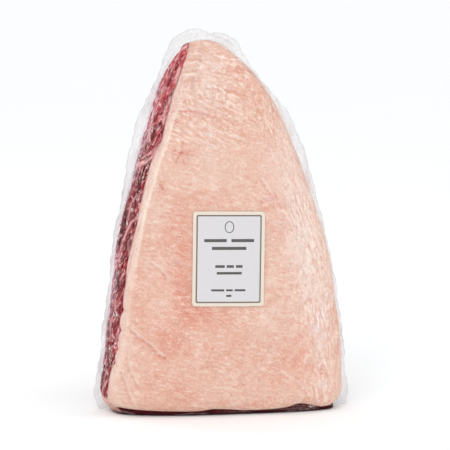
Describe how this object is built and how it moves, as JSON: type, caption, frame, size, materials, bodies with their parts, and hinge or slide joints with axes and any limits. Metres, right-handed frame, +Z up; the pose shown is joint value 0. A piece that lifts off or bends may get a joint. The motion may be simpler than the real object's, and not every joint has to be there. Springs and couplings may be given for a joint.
{
  "type": "vacuum-packed raw picanha",
  "caption": "Raw beef rump cap with a pale fat layer, tight in a clear vacuum bag with a free margin and a plain label, standing on its wide cut end.",
  "frame": {"origin": "on the floor under the middle of the whole pack", "axes": "+Z up along the height, -Y the fat side, +X to the right seen from the fat side"},
  "size_m": [0.1794, 0.0482, 0.2694],
  "materials": {
    "lean": "raw lean beef, deep crimson, wet under film",
    "fat": "raw fat, pale peach pink, satin under film",
    "film": "clear glossy vacuum film",
    "label": "smooth paper"
  },
  "bodies": {
    "root": {"lean_meat": "lean", "fat_cap": "fat", "vacuum_bag": "film", "label": "label"}
  },
  "joints": []
}
